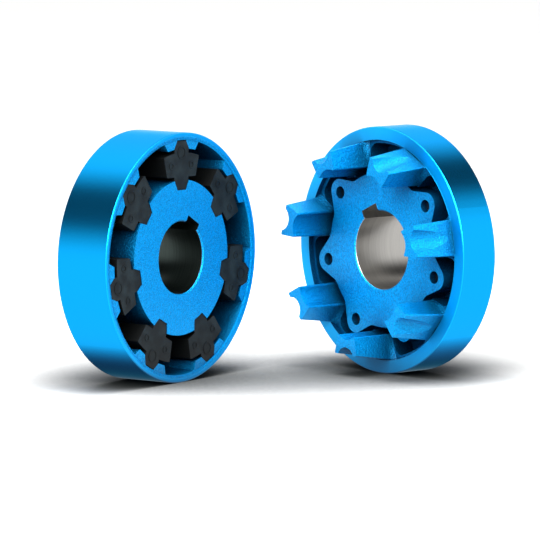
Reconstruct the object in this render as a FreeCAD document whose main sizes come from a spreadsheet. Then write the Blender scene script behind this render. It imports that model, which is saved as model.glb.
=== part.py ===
import FreeCAD, Part
import Sketcher
import math
import os
import re

# Elastomer claw coupling, 172 mm across, shown as its two halves pulled apart.
# Both halves stand on their rims with level axes.
# Row frame: +Z up, +X the way the pocket half's open face looks, and the
# origin on the pocket half's axis at the middle of its hub.
# Each piece is drawn in its half's frame: +Z out of the open face, z = 0 on
# the rim's front plane.

doc = FreeCAD.newDocument("ClawCoupling")
sizes = doc.addObject("Spreadsheet::Sheet", "Sizes")

drivingSizes = {
    # both halves
    "coupling_diameter": 172,
    "claw_count": 7,
    "edge_break": 0.6,
    "bore_chamfer": 1.0,
    "hub_length": 62,
    "boss_head_gap": 7.1,
    "boss_fillet": 3,
    "seat_play": 0.15,
    # pocket half casting
    "pocket_ring_width": 41.6,
    "lip_width": 2.0,
    "lip_bevel_width": 3.1,
    "lip_bevel_depth": 1.0,
    "cavity_depth": 33.5,
    "cavity_draft": 1.0,
    "cavity_width": 27.4,
    "pocket_hub_recess": 0.8,
    "pocket_bore_radius": 25,
    "pocket_key_width": 14,
    "pocket_key_depth": 3.8,
    "pocket_key_angle": 60,
    "first_block_angle": 89.1,
    # teeth that hold each block at the wall
    "tooth_recess": 1.2,
    "tooth_height": 5.9,
    "tooth_tip_width": 7.4,
    "tooth_root_width": 16.6,
    "tooth_rounding": 0.6,
    # rubber block
    "block_face_recess": 1.2,
    "block_stem_half": 8.0,
    "block_outer_tip_half": 5.0,
    "block_shoulder_rise": 0.3,
    "block_stem_sink": 0.5,
    "block_notch_depth": 6.8,
    "block_inner_tip_half": 4.8,
    "block_wing_drop": 2.8,
    "block_wing_rise": 1.9,
    "block_wing_half": 20.0,
    "block_corner": 0.9,
    "mark_height": 0.3,
    "mark_line": 0.7,
    "small_mark_radius": 2.5,
    "small_mark_side": 11.4,
    "small_mark_drop": 8.9,
    "large_mark_radius": 4.4,
    # claw ring
    "claw_ring_width": 29.6,
    "step_width": 9.2,
    "step_depth": 3.8,
    "gap_wall_width": 2.4,
    "gap_half": 17.5,
    "gap_inner_half": 16,
    "gap_under_hub": 2,
    "gap_corner": 6.5,
    "gap_depth": 20,
    "first_claw_angle": 113.8,
    "claw_length": 30,
    "claw_wing_drop": 1.0,
    "claw_outer_slope": 8.4,
    "claw_hub_gap": 4.5,
    "claw_flank_angle": 11,
    "claw_play": 0.8,
    "claw_draft": 1.5,
    "claw_rounding": 0.9,
    "claw_arch_land": 1.1,
    "claw_arch_rise": 2.8,
    "foot_height": 2,
    "foot_flare": 2.8,
    "foot_inner_flare": 0.2,
    "foot_outer_flare": 1.2,
    "foot_middle_height": -1.4,
    "foot_middle_share": 0.25,
    "scoop_depth": 5.2,
    "scoop_radius": 9,
    "scoop_slope": 19,
    # lobed hub
    "lobed_hub_recess": 0.5,
    "lobe_height": 13,
    "lobe_step_gap": 9.8,
    "lobe_root_sink": 5.4,
    "lobe_tip_radius": 8.6,
    "lobe_flank_angle": 37,
    "lobe_fillet": 7.5,
    "first_lobe_angle": 139.5,
    "claw_bore_radius": 27.5,
    "claw_key_width": 16,
    "claw_key_depth": 4.3,
    "claw_key_angle": 114.1,
    # ring screws and set screws
    "screw_tip_gap": 9.9,
    "screw_core_radius": 4.3,
    "screw_core_play": 0.1,
    "screw_shank_radius": 5,
    "screw_hole_radius": 5.5,
    "screw_length": 25,
    "screw_head_radius": 8,
    "screw_head_height": 10,
    "screw_socket_flats": 8,
    "screw_socket_depth": 5,
    "screw_chamfer": 0.8,
    "set_screw_radius": 5,
    "set_screw_length": 10,
    "set_screw_play": 0.1,
    "set_socket_flats": 5,
    "set_socket_depth": 4,
    # where the claw half stands
    "claw_half_ahead": 82.2,
    "claw_half_beside": 34.4,
    "claw_half_turn": 104.4,
}

# What lines up with another piece follows from that piece's sizes, and radii
# run from the rim inward.
derivedSizes = {
    "outer_radius": "coupling_diameter / 2",
    "half_pitch": "180 / claw_count",
    "wall_radius": "outer_radius - lip_width - lip_bevel_width",
    "wall_floor_radius": "wall_radius - (cavity_depth - lip_bevel_depth) * tan(cavity_draft)",
    "pocket_hub_radius": "wall_radius - cavity_width",
    "hub_floor_radius": "pocket_hub_radius + (cavity_depth - pocket_hub_recess) * tan(cavity_draft)",
    "pocket_hub_back": "-(pocket_hub_recess + hub_length)",
    "lobed_hub_back": "-(lobed_hub_recess + hub_length)",
    "tooth_tip_radius": "wall_radius - tooth_height",
    "block_outer_tip": "wall_floor_radius - seat_play",
    "block_outer_shoulder": "tooth_tip_radius + block_shoulder_rise",
    "block_wing_radius": "tooth_tip_radius - block_wing_drop",
    "block_wing_inner": "pocket_hub_radius + block_wing_rise",
    "block_inner_shoulder": "pocket_hub_radius - block_stem_sink",
    "block_inner_tip": "pocket_hub_radius - block_notch_depth",
    "small_mark_place": "block_wing_radius - small_mark_drop",
    "wing_outer_y": "sqrt(block_wing_radius ^ 2 - block_wing_half ^ 2)",
    "wing_slope": "tan(half_pitch - claw_flank_angle)",
    "step_radius": "outer_radius - step_width",
    "gap_wall_radius": "step_radius - gap_wall_width",
    "claw_outer_radius": "block_wing_radius - claw_wing_drop",
    "claw_inner_radius": "pocket_hub_radius + claw_hub_gap",
    "wing_end_x": "block_wing_half * cos(half_pitch) - wing_outer_y * sin(half_pitch)",
    "wing_end_y": "block_wing_half * sin(half_pitch) + wing_outer_y * cos(half_pitch)",
    "claw_flank_foot": "-wing_end_x - claw_play - wing_end_y * tan(claw_flank_angle)",
    "claw_arch_half": "claw_flank_foot + claw_inner_radius * tan(claw_flank_angle) - claw_arch_land",
    "claw_arch_radius": "(claw_arch_half ^ 2 + claw_arch_rise ^ 2) / 2 / claw_arch_rise",
    "scoop_bottom_radius": "claw_outer_radius - scoop_depth",
    "lobe_reach": "step_radius - lobe_step_gap",
    "lobed_hub_waist": "lobe_reach - lobe_height",
    "gap_inner_end": "lobed_hub_waist - gap_under_hub",
    "lobe_foot": "lobed_hub_waist - lobe_root_sink",
    "screw_circle_radius": "lobe_reach - screw_tip_gap",
    "boss_radius": "screw_circle_radius - screw_head_radius - boss_head_gap",
}

for row, (alias, value) in enumerate(drivingSizes.items(), start=1):
    sizes.set(f"A{row}", alias)
    sizes.set(f"B{row}", str(value))
    sizes.setAlias(f"B{row}", alias)
doc.recompute()


def bound(expression):
    # a derived size becomes its formula, and a driving size its cell of the sheet
    def spelledOut(word):
        name = word[0]
        if name in derivedSizes:
            return f"({bound(derivedSizes[name])})"
        return f"Sizes.{name}" if name in drivingSizes else name

    return re.sub(r"[a-z_]+", spelledOut, expression)


def number(expression):
    value = sizes.evalExpression(bound(expression))
    return float(getattr(value, "Value", value))


def bind(thing, path, expression):
    thing.setExpression(path, bound(expression))


def newBody(name):
    body = doc.addObject("PartDesign::Body", name)
    body.Label = name
    return body


def originPlane(body, role):
    return next(item for item in body.Origin.OriginFeatures if item.Role == role)


def newSketch(body, name, role="XY_Plane", lift=None, turn=None, tilt=None):
    # the sketch's plane can be lifted, turned about Z, or tilted about X
    sketch = body.newObject("Sketcher::SketchObject", name)
    sketch.AttachmentSupport = [(originPlane(body, role), "")]
    sketch.MapMode = "FlatFace"
    for angle, axis in ((turn, (0, 0, 1)), (tilt, (1, 0, 0))):
        if angle is not None:
            around = FreeCAD.Rotation(FreeCAD.Vector(*axis), number(angle))
            sketch.AttachmentOffset = FreeCAD.Placement(FreeCAD.Vector(), around)
            bind(sketch, "AttachmentOffset.Rotation.Angle", angle)
    if lift is not None:
        bind(sketch, "AttachmentOffset.Base.z", lift)
    return sketch


def bindDistance(sketch, kind, geometry, position, expression):
    # one coordinate of a sketch point, measured from the sketch's origin
    value = number(expression)
    if expression == "0":
        axis = -2 if kind == "DistanceX" else -1
        sketch.addConstraint(Sketcher.Constraint("PointOnObject", geometry, position, axis))
        return
    index = sketch.addConstraint(Sketcher.Constraint(kind, -1, 1, geometry, position, value))
    bind(sketch, f"Constraints[{index}]", expression)


def arcEnds(centre, start, finish, leftward):
    # first and last angle of the arc, counted anticlockwise
    angles = [math.atan2(point.y - centre.y, point.x - centre.x) for point in (start, finish)]
    if not leftward:
        angles.reverse()
    if angles[1] < angles[0]:
        angles[1] += 2 * math.pi
    return angles


def addOutline(sketch, corners):
    # Closed outline through the corners (x, y).  A corner that starts an arc
    # has the arc's radius third and its centre's side fourth: "origin" for an
    # arc about the sketch's origin, else "left" or "right" of the way round.
    # Where an origin arc sets a corner's y, that y is given as None.
    count = len(corners)
    arcs = [corner[2:] for corner in corners]
    points = []
    for index, corner in enumerate(corners):
        across = number(corner[0])
        if corner[1] is None:
            radius = number((arcs[index] or arcs[index - 1])[0])
            points.append(FreeCAD.Vector(across, math.sqrt(radius ** 2 - across ** 2), 0))
        else:
            points.append(FreeCAD.Vector(across, number(corner[1]), 0))
    ends = []
    for index in range(count):
        start, finish = points[index], points[(index + 1) % count]
        if not arcs[index]:
            edge = sketch.addGeometry(Part.LineSegment(start, finish))
            ends.append((edge, 1, 2))
            continue
        radius, side = number(arcs[index][0]), arcs[index][1]
        if side == "origin":
            centre = FreeCAD.Vector()
            leftward = start.cross(finish).z > 0
        else:
            leftward = side == "left"
            chord = finish - start
            reach = math.sqrt(radius ** 2 - chord.Length ** 2 / 4) / chord.Length
            toward = FreeCAD.Vector(-chord.y, chord.x, 0) * (reach if leftward else -reach)
            centre = (start + finish) * 0.5 + toward
        angles = arcEnds(centre, start, finish, leftward)
        circle = Part.Circle(centre, FreeCAD.Vector(0, 0, 1), radius)
        edge = sketch.addGeometry(Part.ArcOfCircle(circle, *angles))
        ends.append((edge, 1, 2) if leftward else (edge, 2, 1))
    for index in range(count):
        edge, first, last = ends[index]
        following = ends[(index + 1) % count]
        sketch.addConstraint(Sketcher.Constraint("Coincident", edge, last, following[0], following[1]))
        if arcs[index]:
            if arcs[index][1] == "origin":
                sketch.addConstraint(Sketcher.Constraint("Coincident", edge, 3, -1, 1))
            held = sketch.addConstraint(Sketcher.Constraint("Radius", edge, number(arcs[index][0])))
            bind(sketch, f"Constraints[{held}]", arcs[index][0])
    for index, corner in enumerate(corners):
        edge, first, last = ends[index]
        bindDistance(sketch, "DistanceX", edge, first, corner[0])
        if corner[1] is not None:
            bindDistance(sketch, "DistanceY", edge, first, corner[1])


def addCircle(sketch, across, up, radius):
    centre = FreeCAD.Vector(number(across), number(up), 0)
    edge = sketch.addGeometry(Part.Circle(centre, FreeCAD.Vector(0, 0, 1), number(radius)))
    held = sketch.addConstraint(Sketcher.Constraint("Radius", edge, number(radius)))
    bind(sketch, f"Constraints[{held}]", radius)
    bindDistance(sketch, "DistanceX", edge, 3, across)
    bindDistance(sketch, "DistanceY", edge, 3, up)


def addHexagon(sketch, flats):
    # regular hexagon about the sketch's origin, flats left and right
    corners = []
    for step in range(6):
        turn = 30 + 60 * step
        corners.append((f"{flats} / 2 / cos(30) * cos({turn})", f"{flats} / 2 / cos(30) * sin({turn})"))
    corners = [("0" if step in (1, 4) else corner[0], corner[1]) for step, corner in enumerate(corners)]
    addOutline(sketch, corners)


def revolve(body, name, profile):
    sketch = newSketch(body, name + "Profile", "XZ_Plane")
    addOutline(sketch, profile)
    feature = body.newObject("PartDesign::Revolution", name)
    feature.Profile = sketch
    feature.ReferenceAxis = (sketch, ["V_Axis"])
    feature.Angle = 360
    doc.recompute()
    return feature


def pad(body, name, sketch, length, taper=None):
    feature = body.newObject("PartDesign::Pad", name)
    feature.Profile = sketch
    bind(feature, "Length", length)
    if taper is not None:
        bind(feature, "TaperAngle", taper)
    doc.recompute()
    return feature


def pocket(body, name, sketch, depth, reverse=False):
    before = body.Shape.Volume
    feature = body.newObject("PartDesign::Pocket", name)
    feature.Profile = sketch
    feature.Reversed = reverse
    bind(feature, "Length", depth)
    doc.recompute()
    if feature.Shape.Volume > before - 1e-3:
        raise RuntimeError(name + " cuts nothing")
    return feature


def repeatAround(body, name, features):
    pattern = body.newObject("PartDesign::PolarPattern", name)
    pattern.Originals = features
    pattern.Axis = (originPlane(body, "Z_Axis"), [""])
    pattern.Angle = 360
    bind(pattern, "Occurrences", "claw_count")
    body.Tip = pattern
    doc.recompute()
    return pattern


def uprightEdges(shape, spots):
    # names of the edges along Z that stand at one of the (x, y) spots
    names = []
    for index, edge in enumerate(shape.Edges, start=1):
        if len(edge.Vertexes) == 2:
            low, high = edge.Vertexes[0].Point, edge.Vertexes[1].Point
            upright = math.hypot(low.x - high.x, low.y - high.y) < 1e-3 and abs(low.z - high.z) > 1
            if upright and any(math.hypot(low.x - x, low.y - y) < 0.02 for x, y in spots):
                names.append(f"Edge{index}")
    return names


def roundEdges(body, name, feature, edges, radius):
    if not edges:
        raise RuntimeError(name + " finds no edge")
    fillet = body.newObject("PartDesign::Fillet", name)
    fillet.Base = (feature, edges)
    bind(fillet, "Radius", radius)
    body.Tip = fillet
    doc.recompute()
    return fillet


def turned(x, y, degrees):
    angle = math.radians(degrees)
    return (x * math.cos(angle) - y * math.sin(angle), x * math.sin(angle) + y * math.cos(angle))


def spotsAround(points, firstTurn=0):
    # the (x, y) points of one repeat and their mirror twins, turned to every repeat
    pitch = 360 / number("claw_count")
    spots = []
    for x, y in points:
        for side in (1, -1):
            for step in range(int(number("claw_count"))):
                spots.append(turned(side * x, y, firstTurn + pitch * step))
    return spots


def boreStart(radius, front):
    return [(radius, f"{front} - bore_chamfer"), (f"{radius} + bore_chamfer", front)]


def boreEnd(radius, back):
    return [(f"{radius} + bore_chamfer", back), (radius, f"{back} + bore_chamfer")]


def ringBack(width):
    return [("outer_radius - edge_break", "0"), ("outer_radius", "-edge_break"),
            ("outer_radius", f"edge_break - {width}"), ("outer_radius - edge_break", f"-{width}")]


def bossBack(width, back):
    return [("boss_radius", f"-{width}"), ("boss_radius", f"{back} + bore_chamfer"),
            ("boss_radius - bore_chamfer", back)]


def cutKeyway(body, width, depth, boreRadius):
    # the keyway lies along the body's own +Y
    sketch = newSketch(body, "KeywaySection")
    addOutline(sketch, [(f"-{width} / 2", "0"), (f"-{width} / 2", f"{boreRadius} + {depth}"),
                        (f"{width} / 2", f"{boreRadius} + {depth}"), (f"{width} / 2", "0")])
    return pocket(body, "Keyway", sketch, "2 * hub_length")


def cutSetScrewHole(body, width, back):
    # radial hole over the keyway, halfway along the boss
    sketch = newSketch(body, "SetScrewHoleSection", "XZ_Plane", lift="-2 * boss_radius")
    addCircle(sketch, "0", f"({back} - {width}) / 2", "set_screw_radius + set_screw_play")
    return pocket(body, "SetScrewHole", sketch, "2 * boss_radius", reverse=True)


def backEdge(shape, radius, height):
    names = []
    for index, edge in enumerate(shape.Edges, start=1):
        if isinstance(edge.Curve, Part.Circle) and abs(edge.Curve.Radius - radius) < 1e-3:
            if abs(edge.Curve.Center.z - height) < 1e-3:
                names.append(f"Edge{index}")
    return names


# Pocket half casting: rim, floor, hub and boss in one piece, with a pair of
# teeth and a hub notch for each rubber block.
def makePocketHub():
    body = newBody("pocket_hub")
    rimInner = "(outer_radius - lip_width)"
    casting = revolve(body, "Casting", [
        *boreStart("pocket_bore_radius", "-pocket_hub_recess"),
        ("pocket_hub_radius", "-pocket_hub_recess"),
        ("hub_floor_radius", "-cavity_depth"),
        ("wall_floor_radius", "-cavity_depth"),
        ("wall_radius", "-lip_bevel_depth"),
        (rimInner, "0"),
        *ringBack("pocket_ring_width"),
        *bossBack("pocket_ring_width", "pocket_hub_back"),
        *boreEnd("pocket_bore_radius", "pocket_hub_back"),
    ])
    roundEdges(body, "BossRoot", casting,
               backEdge(casting.Shape, number("boss_radius"), -number("pocket_ring_width")), "boss_fillet")
    blockTurn = "first_block_angle - pocket_key_angle"

    toothSketch = newSketch(body, "ToothSection", lift="-tooth_recess", turn=blockTurn)
    flankSlope = "(block_stem_half - block_outer_tip_half) / (block_outer_tip - block_outer_shoulder)"
    flankX = f"(block_stem_half + seat_play - ({{}} - block_outer_shoulder) * {flankSlope})"
    sunkRadius = "(wall_radius + lip_bevel_width / 2)"
    tipSide = "(block_stem_half + seat_play)"
    tipY = f"sqrt(tooth_tip_radius ^ 2 - {tipSide} ^ 2)"
    farTip = f"({tipSide} + tooth_tip_width)"
    farTipY = f"sqrt(tooth_tip_radius ^ 2 - {farTip} ^ 2)"
    sunkSide = flankX.format(sunkRadius)
    farSunk = f"({sunkSide} + tooth_root_width)"
    for side in ("", "-"):
        addOutline(toothSketch, [
            (f"{side}{sunkSide}", sunkRadius),
            (f"{side}{tipSide}", "block_outer_shoulder"),
            (f"{side}{tipSide}", tipY),
            (f"{side}{farTip}", farTipY),
            (f"{side}{farSunk}", f"sqrt({sunkRadius} ^ 2 - {farSunk} ^ 2)"),
        ])
    tooth = pad(body, "Tooth", toothSketch, "cavity_depth - tooth_recess + edge_break")
    tooth.Reversed = True
    teeth = repeatAround(body, "Teeth", [tooth])

    notchSketch = newSketch(body, "NotchSection", lift="0", turn=blockTurn)
    notchSide = "(block_stem_half + seat_play)"
    notchTip = "(block_inner_tip_half + seat_play)"
    addOutline(notchSketch, [
        (f"-{notchTip}", "block_inner_tip - seat_play"),
        (f"-{notchSide}", "block_inner_shoulder"),
        (f"-{notchSide}", "block_wing_inner"),
        (notchSide, "block_wing_inner"),
        (notchSide, "block_inner_shoulder"),
        (notchTip, "block_inner_tip - seat_play"),
    ])
    notch = pocket(body, "Notch", notchSketch, "cavity_depth")
    notches = repeatAround(body, "Notches", [notch])

    toothCorners = [(number(tipSide), number(tipY)), (number(farTip), number(farTipY))]
    turn = number(blockTurn)
    roundEdges(body, "ToothRounding", notches,
               uprightEdges(notches.Shape, spotsAround(toothCorners, turn)), "tooth_rounding")
    cutKeyway(body, "pocket_key_width", "pocket_key_depth", "pocket_bore_radius")
    body.Tip = cutSetScrewHole(body, "pocket_ring_width", "pocket_hub_back")
    return body


# Rubber block: a cross with two wings, an inner lobe that sits in the hub's
# notch and an outer lobe that sits between two teeth.
def makeBlock(name):
    body = newBody(name)
    wingInnerHalf = "(block_wing_half - (wing_outer_y - block_wing_inner) * wing_slope)"
    half = [
        ("block_outer_tip_half", "block_outer_tip"),
        ("block_stem_half", "block_outer_shoulder"),
        ("block_stem_half", None, "block_wing_radius", "origin"),
        ("block_wing_half", None),
        (wingInnerHalf, "block_wing_inner"),
        ("block_stem_half", "block_wing_inner"),
        ("block_stem_half", "block_inner_shoulder"),
        ("block_inner_tip_half", "block_inner_tip"),
    ]
    mirrored = [(f"-{across}", up) for across, up, *arc in reversed(half)]
    mirrored[4] = (*mirrored[4], "block_wing_radius", "origin")
    sketch = newSketch(body, "BlockSection", lift="-cavity_depth")
    addOutline(sketch, half + mirrored)
    solid = pad(body, "BlockSolid", sketch, "cavity_depth - block_face_recess")
    wingTip = (number("block_wing_half"), number("wing_outer_y"))
    corners = [wingTip, (number(wingInnerHalf), number("block_wing_inner")),
               (number("block_outer_tip_half"), number("block_outer_tip")),
               (number("block_inner_tip_half"), number("block_inner_tip"))]
    spots = corners + [(-x, y) for x, y in corners]
    body.Tip = roundEdges(body, "BlockRounding", solid, uprightEdges(solid.Shape, spots), "block_corner")
    marks = newSketch(body, "MarkSection", lift="-block_face_recess - mark_height")
    for across, up, radius in (("small_mark_side", "small_mark_place", "small_mark_radius"),
                               ("-small_mark_side", "small_mark_place", "small_mark_radius"),
                               ("0", "block_wing_radius", "large_mark_radius")):
        addCircle(marks, across, up, radius)
        addCircle(marks, across, up, f"{radius} - mark_line")
    body.Tip = pad(body, "Marks", marks, "2 * mark_height")
    return body


# Claw ring: rim and floor in one piece with seven claws that reach forward,
# and an open gap between each claw and the next.
def makeClawRing():
    body = newBody("claw_ring")
    bodyFront = "-step_depth"
    floor = "-gap_depth"
    spigot = "(boss_radius + seat_play)"
    ring = revolve(body, "Ring", [
        (spigot, "-claw_ring_width"),
        (spigot, floor),
        ("claw_inner_radius", floor),
        ("claw_inner_radius", bodyFront),
        ("step_radius", bodyFront),
        ("step_radius", "0"),
        *ringBack("claw_ring_width"),
    ])
    gapTurn = "half_pitch"
    gapSketch = newSketch(body, "GapSection", turn=gapTurn)
    gapInner = "gap_inner_end"
    addOutline(gapSketch, [
        ("-gap_inner_half", gapInner),
        ("-gap_half", None, "gap_wall_radius", "origin"),
        ("gap_half", None),
        ("gap_inner_half", gapInner),
    ])
    gap = pocket(body, "Gap", gapSketch, "gap_depth")
    gaps = repeatAround(body, "Gaps", [gap])
    gapCorner = (number("gap_half"), math.sqrt(number("gap_wall_radius") ** 2 - number("gap_half") ** 2))
    roundEdges(body, "GapRounding", gaps,
               uprightEdges(gaps.Shape, spotsAround([gapCorner], number(gapTurn))), "gap_corner")

    def clawSection(name, height, flare):
        # flare: share of the foot's full widening at this height
        sketch = newSketch(body, name, lift=height)
        drop = f"(claw_length - ({height}))"
        inner = "claw_inner_radius"
        outer = f"(claw_outer_radius + {drop} * tan(claw_outer_slope) + {flare} * foot_outer_flare)"
        flank = "tan(claw_flank_angle)"
        side = f"(claw_flank_foot + {{}} * {flank} + {drop} * tan(claw_draft))"
        outerHalf = f"({side.format(outer)} + {flare} * foot_flare)"
        innerHalf = f"({side.format(inner)} + {flare} * foot_inner_flare)"
        half = [
            ("claw_arch_half", inner),
            (f"{innerHalf} - claw_rounding", inner, "claw_rounding", "left"),
            (f"{innerHalf} + claw_rounding * {flank}", f"{inner} + claw_rounding"),
            (f"{outerHalf} - claw_rounding * {flank}", f"{outer} - claw_rounding", "claw_rounding", "left"),
            (f"{outerHalf} - claw_rounding", outer),
        ]
        mirrored = [(f"-({across})", up) for across, up, *arc in reversed(half)]
        for index in (0, 2):
            mirrored[index] = (*mirrored[index], "claw_rounding", "left")
        mirrored[4] = (*mirrored[4], "claw_arch_radius", "right")
        addOutline(sketch, half + mirrored)
        return sketch

    def loft(name, sections, ruled):
        feature = body.newObject("PartDesign::AdditiveLoft", name)
        feature.Profile = sections[0]
        feature.Sections = sections[1:]
        feature.Ruled = ruled
        doc.recompute()
        return feature

    tip = clawSection("ClawTip", "claw_length", "0")
    shin = clawSection("ClawShin", "foot_height", "0")
    claw = loft("Claw", [tip, shin], True)
    foot = loft("ClawFoot", [clawSection("FootTop", "foot_height", "0"),
                             clawSection("FootMiddle", "foot_middle_height", "foot_middle_share"),
                             clawSection("FootEnd", bodyFront, "1")], False)
    # The scoop in a claw's back is a slanted channel that runs out toward the root.
    scoopSketch = newSketch(body, "ScoopSection", lift="claw_length + edge_break", tilt="scoop_slope")
    bind(scoopSketch, "AttachmentOffset.Base.y", "scoop_bottom_radius - edge_break * tan(scoop_slope)")
    addCircle(scoopSketch, "0", "scoop_radius", "scoop_radius")
    scoop = pocket(body, "Scoop", scoopSketch, "claw_length")
    arch = newSketch(body, "ArchSection", lift=bodyFront)
    addCircle(arch, "0", "claw_inner_radius + claw_arch_rise - claw_arch_radius", "claw_arch_radius")
    archCut = pocket(body, "Arch", arch, "gap_depth - step_depth")
    repeatAround(body, "Claws", [claw, foot, scoop, archCut])

    holes = newSketch(body, "ScrewHoleSection", lift=floor, turn=gapTurn)
    addCircle(holes, "0", "screw_circle_radius", "screw_hole_radius")
    hole = pocket(body, "ScrewHole", holes, "claw_ring_width")
    body.Tip = repeatAround(body, "ScrewHoles", [hole])
    return body


# Hub of the claw half: a seven-lobed flange that sits between the claws on
# the ring's floor, and the boss behind it.
def makeClawHub():
    body = newBody("claw_hub")
    front = "-lobed_hub_recess"
    seat = "-gap_depth"
    revolve(body, "Hub", [
        *boreStart("claw_bore_radius", front),
        ("lobed_hub_waist", front),
        ("lobed_hub_waist", seat),
        ("boss_radius", seat),
        ("boss_radius", "lobed_hub_back + bore_chamfer"),
        ("boss_radius - bore_chamfer", "lobed_hub_back"),
        *boreEnd("claw_bore_radius", "lobed_hub_back"),
    ])
    lobeTurn = "first_lobe_angle - claw_key_angle"
    lobeSketch = newSketch(body, "LobeSection", lift=seat, turn=lobeTurn)
    tipX = "(lobe_tip_radius * cos(lobe_flank_angle))"
    tipY = "(lobe_reach - lobe_tip_radius + lobe_tip_radius * sin(lobe_flank_angle))"
    footX = f"({tipX} + ({tipY} - lobe_foot) * tan(lobe_flank_angle))"
    addOutline(lobeSketch, [
        (footX, "lobe_foot"),
        (tipX, tipY, "lobe_tip_radius", "left"),
        (f"-{tipX}", tipY),
        (f"-{footX}", "lobe_foot"),
    ])
    lobe = pad(body, "Lobe", lobeSketch, "gap_depth - lobed_hub_recess")
    lobes = repeatAround(body, "Lobes", [lobe])

    # where a lobe's flank meets the waist
    slope = math.tan(math.radians(number("lobe_flank_angle")))
    startX = number(tipX) + slope * number(tipY)
    waist = number("lobed_hub_waist")
    meetY = (slope * startX + math.sqrt((1 + slope ** 2) * waist ** 2 - startX ** 2)) / (1 + slope ** 2)
    meet = (startX - slope * meetY, meetY)
    roundEdges(body, "LobeFillet", lobes, uprightEdges(lobes.Shape, spotsAround([meet], number(lobeTurn))),
               "lobe_fillet")

    holes = newSketch(body, "TappedHoleSection", lift=front, turn=lobeTurn)
    addCircle(holes, "0", "screw_circle_radius", "screw_core_radius + screw_core_play")
    hole = pocket(body, "TappedHole", holes, "gap_depth")
    repeatAround(body, "TappedHoles", [hole])
    cutKeyway(body, "claw_key_width", "claw_key_depth", "claw_bore_radius")
    body.Tip = cutSetScrewHole(body, "claw_ring_width", "lobed_hub_back")
    return body


# Cap screw from behind, through the ring's floor into a lobe of the hub.  Its
# threaded end is plain at the thread's core size.
def makeRingScrew(name):
    body = newBody(name)
    seat = "-claw_ring_width"
    headBack = f"({seat} - screw_head_height)"
    end = f"({seat} + screw_length)"
    revolve(body, "Screw", [
        ("0", headBack),
        ("screw_head_radius - screw_chamfer", headBack),
        ("screw_head_radius", f"{headBack} + screw_chamfer"),
        ("screw_head_radius", seat),
        ("screw_shank_radius", seat),
        ("screw_shank_radius", "-gap_depth - seat_play"),
        ("screw_core_radius", "-gap_depth - seat_play"),
        ("screw_core_radius", f"{end} - screw_chamfer"),
        ("screw_core_radius - screw_chamfer", end),
        ("0", end),
    ])
    socket = newSketch(body, "SocketSection", lift=headBack)
    addHexagon(socket, "screw_socket_flats")
    body.Tip = pocket(body, "Socket", socket, "screw_socket_depth", reverse=True)
    return body


# Set screw over a keyway, in line with +Y, its socket outward.
def makeSetScrew(name, bossWidth, back, keyRoof):
    body = newBody(name)
    sketch = newSketch(body, "ScrewSection", "XZ_Plane", lift=f"-({keyRoof} + seat_play + set_screw_length)")
    addCircle(sketch, "0", f"({back} - {bossWidth}) / 2", "set_screw_radius")
    pad(body, "Screw", sketch, "set_screw_length").Reversed = False
    socket = newSketch(body, "SocketSection", "XZ_Plane",
                       lift=f"-({keyRoof} + seat_play + set_screw_length)")
    bind(socket, "AttachmentOffset.Base.y", f"({back} - {bossWidth}) / 2")
    addHexagon(socket, "set_socket_flats")
    doc.recompute()
    body.Tip = pocket(body, "Socket", socket, "set_socket_depth", reverse=True)
    return body


bodies = {"pocket_hub": makePocketHub()}
claws = int(number("claw_count"))
pitch = 360 / number("claw_count")

# Pocket half: viewer's right, up and out of the face become +Y, +Z and +X.
facing = FreeCAD.Rotation(FreeCAD.Vector(1, 1, 1), 120)
pocketFront = number("hub_length / 2 + pocket_hub_recess")
pocketPlace = FreeCAD.Placement(FreeCAD.Vector(pocketFront, 0, 0), facing)

# Claw half: the same, then turned about the vertical and stood beside.
clawTurn = FreeCAD.Rotation(FreeCAD.Vector(0, 0, 1), -number("claw_half_turn"))
clawSpot = FreeCAD.Vector(pocketFront + number("claw_half_ahead"),
                          number("outer_radius + claw_half_beside"), 0)
clawPlace = FreeCAD.Placement(clawSpot, clawTurn.multiply(facing))


def place(body, half, angle):
    # the body's own +Y is turned to the angle, measured from the viewer's right
    spin = FreeCAD.Placement(FreeCAD.Vector(), FreeCAD.Rotation(FreeCAD.Vector(0, 0, 1), angle - 90))
    body.Placement = half.multiply(spin)


place(bodies["pocket_hub"], pocketPlace, number("pocket_key_angle"))
for step in range(claws):
    name = f"flexible_block_{step + 1}"
    bodies[name] = makeBlock(name)
    place(bodies[name], pocketPlace, number("first_block_angle") - pitch * step)

bodies["claw_ring"] = makeClawRing()
place(bodies["claw_ring"], clawPlace, number("first_claw_angle"))
bodies["claw_hub"] = makeClawHub()
place(bodies["claw_hub"], clawPlace, number("claw_key_angle"))
for step in range(claws):
    name = f"claw_ring_screw_{step + 1}"
    bodies[name] = makeRingScrew(name)
    offset = FreeCAD.Vector(0, number("screw_circle_radius"), 0)
    place(bodies[name], clawPlace, number("first_lobe_angle") - pitch * step)
    bodies[name].Placement = bodies[name].Placement.multiply(FreeCAD.Placement(offset, FreeCAD.Rotation()))

bodies["pocket_set_screw"] = makeSetScrew("pocket_set_screw", "pocket_ring_width", "pocket_hub_back",
                                          "(pocket_bore_radius + pocket_key_depth)")
place(bodies["pocket_set_screw"], pocketPlace, number("pocket_key_angle"))
bodies["claw_set_screw"] = makeSetScrew("claw_set_screw", "claw_ring_width", "lobed_hub_back",
                                        "(claw_bore_radius + claw_key_depth)")
place(bodies["claw_set_screw"], clawPlace, number("claw_key_angle"))
doc.recompute()

for item in doc.Objects:
    if "Invalid" in item.State or "Error" in item.State:
        raise RuntimeError(f"{item.Name} failed: {item.State}")
for name, body in bodies.items():
    if body.Shape.isNull() or not body.Shape.isValid() or len(body.Shape.Solids) != 1:
        raise RuntimeError(name + " is not one valid solid")

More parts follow.
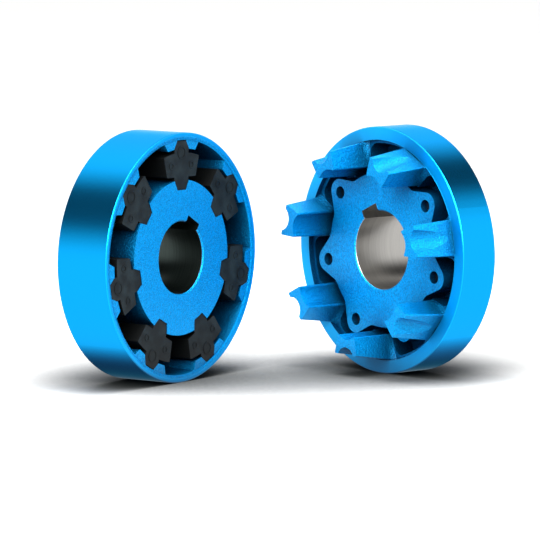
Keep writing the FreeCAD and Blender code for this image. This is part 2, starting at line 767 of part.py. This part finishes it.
os.makedirs("parts", exist_ok=True)
for name, body in bodies.items():
    body.Shape.exportStep(f"parts/{name}.step")
    box = body.Shape.BoundBox
    print(name, "volume", round(body.Shape.Volume), "mm3, size", round(box.XLength, 1), round(box.YLength, 1),
          round(box.ZLength, 1))
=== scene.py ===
import math

import bpy
from mathutils import Euler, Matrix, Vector


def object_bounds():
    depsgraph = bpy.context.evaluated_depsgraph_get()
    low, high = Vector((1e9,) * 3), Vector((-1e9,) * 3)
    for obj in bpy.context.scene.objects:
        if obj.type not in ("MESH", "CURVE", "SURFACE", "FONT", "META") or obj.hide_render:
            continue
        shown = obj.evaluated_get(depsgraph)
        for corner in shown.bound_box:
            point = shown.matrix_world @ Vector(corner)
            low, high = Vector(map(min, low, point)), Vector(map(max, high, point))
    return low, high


# Two halves of a claw coupling on a pale studio floor: blue painted castings,
# bare bores, black rubber blocks and dark screws.

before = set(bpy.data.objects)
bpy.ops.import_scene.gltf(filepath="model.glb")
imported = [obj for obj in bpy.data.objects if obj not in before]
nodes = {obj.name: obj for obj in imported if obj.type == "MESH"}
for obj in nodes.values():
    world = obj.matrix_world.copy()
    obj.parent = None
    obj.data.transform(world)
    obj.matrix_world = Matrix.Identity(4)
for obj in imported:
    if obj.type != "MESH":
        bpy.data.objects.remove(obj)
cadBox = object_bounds()
mm = 0.001

# Where each half stands, in metres and degrees, and its turned sizes. Each
# half's shader space has +X out of its open face, +Z up and x = 0 on the rim's
# front plane.
halves = {
    "pocket": {"front": (0.0318, 0.0, 0.0), "turn": 0.0, "lipRadius": 82 * mm, "boreRadius": 25 * mm,
               "keyRoof": 28.8 * mm, "keyHalf": 7 * mm, "keyAngle": 60.0},
    "claw": {"front": (0.1140, 0.1204, 0.0), "turn": -104.4, "lipRadius": 77 * mm, "boreRadius": 27.5 * mm,
             "keyRoof": 31.8 * mm, "keyHalf": 8 * mm, "keyAngle": 114.1},
}


def toLinear(hexColour):
    channels = [int(hexColour[i:i + 2], 16) / 255 for i in (1, 3, 5)]
    linear = [c / 12.92 if c <= 0.04045 else ((c + 0.055) / 1.055) ** 2.4 for c in channels]
    return (*linear, 1.0)


def addNode(tree, kind, inputs=None, **settings):
    # one node with its settings; an input is a value or another node's output
    node = tree.nodes.new(kind)
    for name, value in settings.items():
        setattr(node, name, value)
    for name, value in (inputs or {}).items():
        socket = node.inputs[name]
        if isinstance(value, bpy.types.NodeSocket):
            tree.links.new(value, socket)
        else:
            socket.default_value = value
    return node


def newMaterial(name):
    material = bpy.data.materials.new(name)
    material.use_nodes = True
    tree = material.node_tree
    tree.nodes.clear()
    shader = addNode(tree, "ShaderNodeBsdfPrincipled")
    output = addNode(tree, "ShaderNodeOutputMaterial", {"Surface": shader.outputs[0]})
    return material, tree, shader, output


def halfSpace(tree, half):
    # position in the half's own space, its distance from the axis, and its
    # height out of the rim's front plane
    place = halves[half]
    where = addNode(tree, "ShaderNodeTexCoord").outputs["Object"]
    local = addNode(tree, "ShaderNodeMapping",
                    {"Vector": where, "Location": place["front"],
                     "Rotation": (0, 0, math.radians(place["turn"]))},
                    vector_type="TEXTURE").outputs[0]
    parts = addNode(tree, "ShaderNodeSeparateXYZ", {0: local})
    flat = addNode(tree, "ShaderNodeVectorMath", {0: local, 1: (0, 1, 1)}, operation="MULTIPLY").outputs[0]
    radius = addNode(tree, "ShaderNodeVectorMath", {0: flat}, operation="LENGTH").outputs["Value"]
    return local, radius, parts.outputs["X"]


def paintCreviceShade(tree, tone, look):
    # painted shade: the base colour darkens in the closed-in corners, the more closed in, the darker
    openness = addNode(tree, "ShaderNodeAmbientOcclusion", {"Distance": look["creviceShadeReach"]}).outputs["AO"]
    reached = addNode(tree, "ShaderNodeMath", {0: openness, 1: look["creviceShadeDepth"]},
                      operation="POWER").outputs[0]
    return addNode(tree, "ShaderNodeMix", {"Factor": reached, "A": toLinear(look["creviceShade"]), "B": tone},
                   data_type="RGBA").outputs["Result"]


# Sprayed blue enamel with a metal flake over sand-cast iron: a satin coat that
# keeps the sand's pitted grain on the cast faces, lies smooth on the rim's
# turned ones, and shines on the outer cylinder.
castPaint = {
    "blue": "#0098DC",
    "pitBlue": "#0072B0",
    "glancingBlue": "#6FD0F8",
    "pitTones": (0.35, 0.6),            # sand heights of the darkest and the plain tone
    # painted shade in the closed-in corners: its colour, reach and steepness
    "creviceShade": "#002E4E",
    "creviceShadeReach": 30 * mm,
    "creviceShadeDepth": 2.5,
    "cast": {"Metallic": 0.66, "Roughness": 0.32},
    "polished": {"Metallic": 1.0, "Roughness": 0.25},
    "coat": 0.07,
    "coatRoughness": 0.32,
    "sandGrain": 1.0 * mm,              # foundry sand about 0.3 mm, drawn coarser so that it shows
    "sandDetail": 2.0,
    "sandRoughness": 0.6,
    "sandDepth": 0.8 * mm,
    "orangePeel": 2.2 * mm,
    "orangePeelDetail": 1.0,
    "orangePeelDepth": 0.013 * mm,
    "turnedFrom": (85.2 * mm, 85.7 * mm),       # radii where the cast grain fades out
    "polishedFrom": (85.8 * mm, 85.95 * mm),    # radii where the shine sets in
    "frontFrom": (-0.4 * mm, -0.1 * mm),        # heights where the rim's front begins
    "lipFade": 0.3 * mm,
}


def paintCasting(tree, shader, half, space):
    local, radius, height = space
    look = castPaint
    lipRadius = halves[half]["lipRadius"]
    sand = addNode(tree, "ShaderNodeTexNoise",
                   {"Vector": local, "Scale": 1 / look["sandGrain"], "Detail": look["sandDetail"],
                    "Roughness": look["sandRoughness"]}).outputs[0]
    peel = addNode(tree, "ShaderNodeTexNoise",
                   {"Vector": local, "Scale": 1 / look["orangePeel"],
                    "Detail": look["orangePeelDetail"]}).outputs[0]

    # turned faces: the outer cylinder, and the rim's front
    onCylinder = addNode(tree, "ShaderNodeMapRange",
                         {"Value": radius, "From Min": look["turnedFrom"][0],
                          "From Max": look["turnedFrom"][1]}).outputs[0]
    atFront = addNode(tree, "ShaderNodeMapRange",
                      {"Value": height, "From Min": look["frontFrom"][0],
                       "From Max": look["frontFrom"][1]}).outputs[0]
    onLip = addNode(tree, "ShaderNodeMapRange",
                    {"Value": radius, "From Min": lipRadius - look["lipFade"],
                     "From Max": lipRadius}).outputs[0]
    onFront = addNode(tree, "ShaderNodeMath", {0: atFront, 1: onLip}, operation="MULTIPLY").outputs[0]
    turned = addNode(tree, "ShaderNodeMath", {0: onCylinder, 1: onFront}, operation="MAXIMUM").outputs[0]
    castShare = addNode(tree, "ShaderNodeMath", {0: 1.0, 1: turned}, operation="SUBTRACT").outputs[0]

    sandHeight = addNode(tree, "ShaderNodeMath", {0: sand, 1: castShare}, operation="MULTIPLY").outputs[0]
    sandBump = addNode(tree, "ShaderNodeBump", {"Height": sandHeight,
                                                "Distance": look["sandDepth"]}).outputs[0]
    bump = addNode(tree, "ShaderNodeBump", {"Height": peel, "Distance": look["orangePeelDepth"],
                                            "Normal": sandBump}).outputs[0]
    tree.links.new(bump, shader.inputs["Normal"])

    # the pits in the sand's grain are a little deeper blue
    outOfPits = addNode(tree, "ShaderNodeMapRange",
                        {"Value": sand, "From Min": look["pitTones"][0],
                         "From Max": look["pitTones"][1]}).outputs[0]
    evenness = addNode(tree, "ShaderNodeMath", {0: outOfPits, 1: turned}, operation="MAXIMUM").outputs[0]
    tone = addNode(tree, "ShaderNodeMix",
                   {"Factor": evenness, "A": toLinear(look["pitBlue"]), "B": toLinear(look["blue"])},
                   data_type="RGBA").outputs["Result"]
    # the base colour carries painted shade in the closed-in corners
    tree.links.new(paintCreviceShade(tree, tone, look), shader.inputs["Base Color"])

    for name in look["cast"]:
        share = addNode(tree, "ShaderNodeMapRange",
                        {"Value": radius, "From Min": look["polishedFrom"][0],
                         "From Max": look["polishedFrom"][1], "To Min": look["cast"][name],
                         "To Max": look["polished"][name]}).outputs[0]
        tree.links.new(share, shader.inputs[name])
    shader.inputs["Specular Tint"].default_value = toLinear(look["glancingBlue"])
    shader.inputs["Coat Weight"].default_value = look["coat"]
    shader.inputs["Coat Roughness"].default_value = look["coatRoughness"]


# Bored grey iron, darker in the pocket half's bore and lighter in the claw half's.
# The tool's marks run round the bore.
boredIron = {
    "pocket": {"dark": "#303836", "light": "#4A5451", "roughness": 0.30, "markPitch": 0.8 * mm,
               "markDepth": 0.006 * mm},
    "claw": {"dark": "#908E8B", "light": "#AFADA9", "roughness": 0.30, "markPitch": 0.8 * mm,
             "markDepth": 0.003 * mm},
    "markStretch": (1.0, 0.02, 0.02),   # the marks vary along the axis and hardly round it
    "markDetail": 3.0,
}


def makeBoredIron(tree, half, local):
    metal = boredIron[half]
    stretched = addNode(tree, "ShaderNodeVectorMath", {0: local, 1: boredIron["markStretch"]},
                        operation="MULTIPLY").outputs[0]
    marks = addNode(tree, "ShaderNodeTexNoise", {"Vector": stretched, "Scale": 1 / metal["markPitch"],
                                                 "Detail": boredIron["markDetail"]}).outputs[0]
    bump = addNode(tree, "ShaderNodeBump", {"Height": marks, "Distance": metal["markDepth"]}).outputs[0]
    tone = addNode(tree, "ShaderNodeMix",
                   {"Factor": marks, "A": toLinear(metal["dark"]), "B": toLinear(metal["light"])},
                   data_type="RGBA").outputs["Result"]
    return addNode(tree, "ShaderNodeBsdfPrincipled",
                   {"Base Color": tone, "Normal": bump, "Metallic": 1.0, "Roughness": metal["roughness"]})


bareMetal = {
    "paintFrom": (0.1 * mm, 0.2 * mm),      # how far past the bare metal the paint sets in
    "keySideFrom": (0.0, 1 * mm),           # heights off the axis, so that only the keyway's side counts
}


def findBareMetal(tree, half, local, radius):
    # 1 in the bore and in the keyway, 0 on the paint
    place = halves[half]
    angle = math.radians(place["keyAngle"])
    upKeyway = (0, math.cos(angle), math.sin(angle))
    acrossKeyway = (0, -math.sin(angle), math.cos(angle))
    height = addNode(tree, "ShaderNodeVectorMath", {0: local, 1: upKeyway},
                     operation="DOT_PRODUCT").outputs["Value"]
    across = addNode(tree, "ShaderNodeVectorMath", {0: local, 1: acrossKeyway},
                     operation="DOT_PRODUCT").outputs["Value"]
    aside = addNode(tree, "ShaderNodeMath", {0: across}, operation="ABSOLUTE").outputs[0]
    edgeStart, edgeEnd = bareMetal["paintFrom"]
    inside = []
    for value, limit in ((radius, "boreRadius"), (aside, "keyHalf"), (height, "keyRoof")):
        inside.append(addNode(tree, "ShaderNodeMapRange",
                              {"Value": value, "From Min": place[limit] + edgeStart,
                               "From Max": place[limit] + edgeEnd, "To Min": 1.0,
                               "To Max": 0.0}).outputs[0])
    inBore, inWidth, underRoof = inside
    onKeySide = addNode(tree, "ShaderNodeMapRange", {"Value": height, "From Min": bareMetal["keySideFrom"][0],
                                                     "From Max": bareMetal["keySideFrom"][1]}).outputs[0]
    inSlot = addNode(tree, "ShaderNodeMath", {0: inWidth, 1: underRoof}, operation="MULTIPLY").outputs[0]
    inKeyway = addNode(tree, "ShaderNodeMath", {0: inSlot, 1: onKeySide}, operation="MULTIPLY").outputs[0]
    return addNode(tree, "ShaderNodeMath", {0: inBore, 1: inKeyway}, operation="MAXIMUM").outputs[0]


def makeHalfFinish(name, half):
    material, tree, paint, output = newMaterial(name)
    space = halfSpace(tree, half)
    local, radius, _ = space
    paintCasting(tree, paint, half, space)
    iron = makeBoredIron(tree, half, local)
    bare = findBareMetal(tree, half, local, radius)
    both = addNode(tree, "ShaderNodeMixShader", {0: bare, 1: paint.outputs[0], 2: iron.outputs[0]})
    tree.links.new(both.outputs[0], output.inputs["Surface"])
    return material


# Moulded nitrile rubber: matte near-black with a faint grey bloom and a fine
# spark-eroded mould texture.
rubber = {
    "black": "#0C1113",
    "bloom": "#182023",
    "bloomPatch": 8.333 * mm,
    "bloomDetail": 3.0,
    "bloomTones": (0.4, 0.7),
    "roughness": 0.55,
    "ior": 1.52,
    "shine": 0.14,
    "grain": 0.7 * mm,
    "grainDetail": 2.0,
    "grainDepth": 0.06 * mm,
    # painted shade in the closed-in corners: its colour, reach and steepness
    "creviceShade": "#010202",
    "creviceShadeReach": 40 * mm,
    "creviceShadeDepth": 4.0,
}


def makeRubber():
    material, tree, shader, _ = newMaterial("mouldedBlackRubber")
    where = addNode(tree, "ShaderNodeTexCoord").outputs["Object"]
    grain = addNode(tree, "ShaderNodeTexNoise", {"Vector": where, "Scale": 1 / rubber["grain"],
                                                 "Detail": rubber["grainDetail"]}).outputs[0]
    patches = addNode(tree, "ShaderNodeTexNoise", {"Vector": where, "Scale": 1 / rubber["bloomPatch"],
                                                   "Detail": rubber["bloomDetail"]}).outputs[0]
    bloomShare = addNode(tree, "ShaderNodeMapRange",
                         {"Value": patches, "From Min": rubber["bloomTones"][0],
                          "From Max": rubber["bloomTones"][1]}).outputs[0]
    tone = addNode(tree, "ShaderNodeMix",
                   {"Factor": bloomShare, "A": toLinear(rubber["black"]), "B": toLinear(rubber["bloom"])},
                   data_type="RGBA").outputs["Result"]
    bump = addNode(tree, "ShaderNodeBump", {"Height": grain, "Distance": rubber["grainDepth"]}).outputs[0]
    # the base colour carries painted shade in the closed-in corners
    tree.links.new(paintCreviceShade(tree, tone, rubber), shader.inputs["Base Color"])
    tree.links.new(bump, shader.inputs["Normal"])
    shader.inputs["Roughness"].default_value = rubber["roughness"]
    shader.inputs["IOR"].default_value = rubber["ior"]
    shader.inputs["Specular IOR Level"].default_value = rubber["shine"]
    return material


# Black-oxide screw steel with a thin film of oil.
screwSteel = {"dark": "#26272A", "light": "#4A4B4E", "roughness": 0.35, "grain": 0.4 * mm, "grainDetail": 2.0}


def makeScrewSteel():
    material, tree, shader, _ = newMaterial("oiledBlackOxideSteel")
    where = addNode(tree, "ShaderNodeTexCoord").outputs["Object"]
    grain = addNode(tree, "ShaderNodeTexNoise", {"Vector": where, "Scale": 1 / screwSteel["grain"],
                                                 "Detail": screwSteel["grainDetail"]}).outputs[0]
    tone = addNode(tree, "ShaderNodeMix",
                   {"Factor": grain, "A": toLinear(screwSteel["dark"]), "B": toLinear(screwSteel["light"])},
                   data_type="RGBA").outputs["Result"]
    tree.links.new(tone, shader.inputs["Base Color"])
    shader.inputs["Metallic"].default_value = 1.0
    shader.inputs["Roughness"].default_value = screwSteel["roughness"]
    return material


def dress(name, material):
    node = nodes[name]
    node.data.materials.clear()
    node.data.materials.append(material)


pocketPaint = makeHalfFinish("sprayedBlueEnamelPocketHalf", "pocket")
clawPaint = makeHalfFinish("sprayedBlueEnamelClawHalf", "claw")
blackRubber = makeRubber()
blackSteel = makeScrewSteel()
for name in nodes:
    if name.startswith("flexible_block"):
        dress(name, blackRubber)
    elif "screw" in name:
        dress(name, blackSteel)
    elif name.startswith("pocket"):
        dress(name, pocketPaint)
    else:
        dress(name, clawPaint)
print("materials on", len(nodes), "pieces")

# The camera at the photograph's view: a long lens 3.4 m off, 6.3 degrees down.
cameraView = {"fromFront": (2.0327, -2.7339, 0.3655), "down": 6.265, "turn": 35.62, "focal": 333.3,
              "sensor": 36, "farthest": 100}
cameraData = bpy.data.cameras.new("studioCamera")
cameraData.lens = cameraView["focal"]
cameraData.sensor_width = cameraView["sensor"]
cameraData.clip_end = cameraView["farthest"]
camera = bpy.data.objects.new("studioCamera", cameraData)
camera.location = Vector(halves["pocket"]["front"]) + Vector(cameraView["fromFront"])
camera.rotation_euler = Euler((math.radians(90 - cameraView["down"]), 0, math.radians(cameraView["turn"])))
bpy.context.scene.collection.objects.link(camera)
bpy.context.scene.camera = camera
print("camera placed")

# Matt white studio floor with a painted contact shadow: its colour darkens where the object closes in on it.
studio = {"floorHalf": 30.0, "floorColour": "#E8E8E7", "floorRoughness": 0.9, "shadowTone": "#242625",
          "shadowReach": 0.2, "shadowDepth": 3.6}
edge = studio["floorHalf"]
low = cadBox[0][2]
floorMesh = bpy.data.meshes.new("studioFloor")
floorMesh.from_pydata([(-edge, -edge, low), (edge, -edge, low), (edge, edge, low), (-edge, edge, low)], [],
                      [(0, 1, 2, 3)])
floor = bpy.data.objects.new("studioFloor", floorMesh)
bpy.context.scene.collection.objects.link(floor)
floorPaint, floorTree, floorShader, _ = newMaterial("mattWhiteFloor")
openness = addNode(floorTree, "ShaderNodeAmbientOcclusion", {"Distance": studio["shadowReach"]}).outputs["AO"]
openShare = addNode(floorTree, "ShaderNodeMath", {0: openness, 1: studio["shadowDepth"]},
                    operation="POWER").outputs[0]
floorTone = addNode(floorTree, "ShaderNodeMix",
                    {"Factor": openShare, "A": toLinear(studio["shadowTone"]),
                     "B": toLinear(studio["floorColour"])}, data_type="RGBA").outputs["Result"]
floorTree.links.new(floorTone, floorShader.inputs["Base Color"])
floorShader.inputs["Roughness"].default_value = studio["floorRoughness"]
floorShader.inputs["Specular IOR Level"].default_value = 0.0
floorMesh.materials.append(floorPaint)
floor.visible_diffuse = False       # its white would light the object from below
floor.visible_glossy = False
print("floor laid")

# A bright white surround with dark flags in it. Each flag lies in one direction
# from the object, is fully dark within its first angle and gone by its second.
surround = {"colour": "#FFFFFF", "light": 1.52}
flags = {
    "left": {"toward": (-0.593, -0.535, 0.600), "light": 0.0, "dark": 14, "gone": 33},
    "right": {"toward": (0.336, 0.558, 0.757), "light": 0.0, "dark": 12, "gone": 34},
    "below": {"toward": (-0.57, 0.60, -0.56), "light": 0.22, "dark": 18, "gone": 38},
}
world = bpy.data.worlds.new("studioWorld")
world.use_nodes = True
worldTree = world.node_tree
direction = addNode(worldTree, "ShaderNodeTexCoord").outputs["Generated"]
light = surround["light"]
for flag in flags.values():
    toward = Vector(flag["toward"]).normalized()
    nearness = addNode(worldTree, "ShaderNodeVectorMath", {0: direction, 1: toward},
                       operation="DOT_PRODUCT").outputs["Value"]
    angle = addNode(worldTree, "ShaderNodeMath", {0: nearness}, operation="ARCCOSINE").outputs[0]
    share = addNode(worldTree, "ShaderNodeMapRange",
                    {"Value": angle, "From Min": math.radians(flag["dark"]),
                     "From Max": math.radians(flag["gone"]), "To Min": flag["light"]}).outputs[0]
    light = addNode(worldTree, "ShaderNodeMath", {0: light, 1: share}, operation="MULTIPLY").outputs[0]
background = worldTree.nodes["Background"]
worldTree.links.new(light, background.inputs["Strength"])
background.inputs["Color"].default_value = toLinear(surround["colour"])
bpy.context.scene.world = world
bpy.context.scene.view_settings.view_transform = "Standard"

# Soft boxes, in camera terms: right, up and toward the camera from the
# middle of the object, with width, height and power.
softBoxes = {
    "key": {"place": (-0.3, 1.0, 1.6), "size": (1.6, 1.2), "power": 100},
    "top": {"place": (0.1, 1.7, 0.3), "size": (0.7, 0.7), "power": 32},
}
middle = (Vector(cadBox[0]) + Vector(cadBox[1])) / 2
facing = Euler((0, 0, math.radians(cameraView["turn"]))).to_matrix()
for name, box in softBoxes.items():
    lamp = bpy.data.lights.new(name + "SoftBox", "AREA")
    lamp.shape = "RECTANGLE"
    lamp.size, lamp.size_y = box["size"]
    lamp.energy = box["power"]
    holder = bpy.data.objects.new(name + "SoftBox", lamp)
    right, up, toward = box["place"]
    holder.location = middle + facing @ Vector((right, -toward, up))
    holder.rotation_euler = (middle - holder.location).to_track_quat("-Z", "Y").to_euler()
    bpy.context.scene.collection.objects.link(holder)
print("studio lit")
